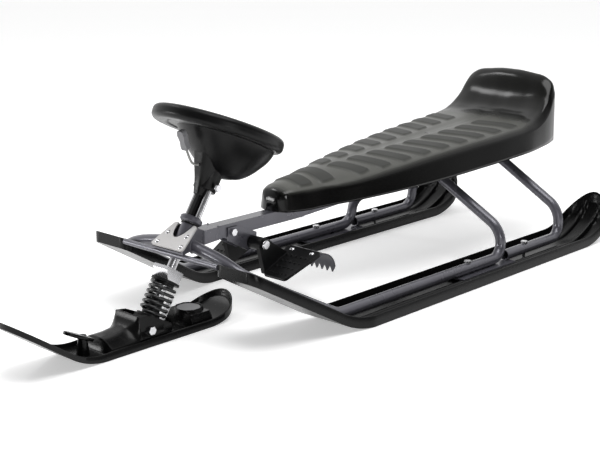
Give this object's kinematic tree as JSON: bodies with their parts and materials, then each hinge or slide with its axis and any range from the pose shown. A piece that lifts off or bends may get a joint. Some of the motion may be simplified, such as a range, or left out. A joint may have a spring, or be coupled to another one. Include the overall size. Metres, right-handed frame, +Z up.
{
  "type": "steering sled",
  "caption": "Steering sled with a bent-tube frame on channel skis, a sprung front ski turned by a steering wheel, a moulded seat with a backrest and a pedal-worked claw brake.",
  "frame": {"origin": "on the ground under the middle of the sled's length and width", "axes": "+X forward along the skis, +Y to the rider's left, +Z up"},
  "size_m": [1.348, 0.479, 0.3706],
  "materials": {
    "frame_paint": "satin powder coat",
    "nose_silver": "satin silver paint",
    "zinc": "bright zinc plate",
    "claw_steel": "dark steel",
    "spring_black": "black paint",
    "ski_black": "semi-gloss moulding",
    "seat_black": "satin moulding",
    "wheel_black": "gloss moulding",
    "pedal_black": "satin moulding",
    "handle_grey": "grey moulding",
    "cord_grey": "braided cord"
  },
  "bodies": {
    "frame": {"left_ski": "ski_black", "right_ski": "ski_black", "left_rail": "frame_paint", "right_rail": "frame_paint", "left_front_leg": "frame_paint", "right_front_leg": "frame_paint", "left_rear_leg": "frame_paint", "right_rear_leg": "frame_paint", "left_bow_tube": "frame_paint", "right_bow_tube": "frame_paint", "left_foot_plate": "frame_paint", "right_foot_plate": "frame_paint", "ski_bolts": "zinc", "main_beam": "frame_paint", "beam_plug": "pedal_black", "nose_frame": "frame_paint", "nose_cover": "nose_silver", "nose_screws": "zinc", "front_cross_tube": "frame_paint", "head_tube": "frame_paint", "upper_head_bush": "pedal_black", "lower_head_bush": "pedal_black", "brake_bracket": "frame_paint", "brake_bracket_bolts": "zinc", "seat": "seat_black", "seat_bolts": "zinc", "brake_return_spring": "zinc"},
    "steering": {"steering_shaft": "zinc", "column_collar": "frame_paint", "left_column_tube": "zinc", "right_column_tube": "zinc", "column_shroud": "wheel_black", "wheel_rim": "wheel_black", "wheel_dish": "wheel_black", "wheel_cap": "wheel_black", "steering_hub": "wheel_black", "hub_bolt": "zinc", "tow_handle": "handle_grey", "tow_cord": "cord_grey", "fork_bracket": "zinc", "fork_nut": "zinc", "upper_spring_seat": "pedal_black", "guide_rod": "zinc"},
    "slider": {"suspension_spring": "spring_black", "guide_tube": "pedal_black", "lower_spring_seat": "pedal_black", "ski_yoke": "pedal_black", "guide_blade": "zinc", "ski_pivot_bolt": "zinc", "ski_pivot_nut": "zinc"},
    "ski": {"front_ski": "ski_black", "front_ski_disc": "handle_grey"},
    "brake": {"brake_axle": "zinc", "axle_clips": "zinc", "left_brake_pedal": "pedal_black", "right_brake_pedal": "pedal_black", "left_brake_claw": "claw_steel", "right_brake_claw": "claw_steel", "claw_rivets": "zinc"}
  },
  "joints": [
    {"name": "steering_turn", "type": "hinge", "parent": "frame", "child": "steering", "pos_m": [0.303, 0, 0.17], "axis": [-0.5446, 0, 0.8387], "range_deg": [-32, 32]},
    {"name": "suspension_slide", "type": "slide", "parent": "steering", "child": "slider", "axis": [-0.5446, 0, 0.8387], "range_m": [0, 0.018], "stiffness_N_per_m": 6000, "springref_m": -0.012, "deforming": ["suspension_spring"]},
    {"name": "ski_pitch", "type": "hinge", "parent": "slider", "child": "ski", "pos_m": [0.418, 0, 0.022], "axis": [0, 1, 0], "range_deg": [-14, 11]},
    {"name": "brake_press", "type": "hinge", "parent": "frame", "child": "brake", "pos_m": [0.177, 0, 0.117], "axis": [0, -1, 0], "range_deg": [0, 42], "stiffness_Nm_per_rad": 0.6, "springref_deg": -40.11}
  ]
}
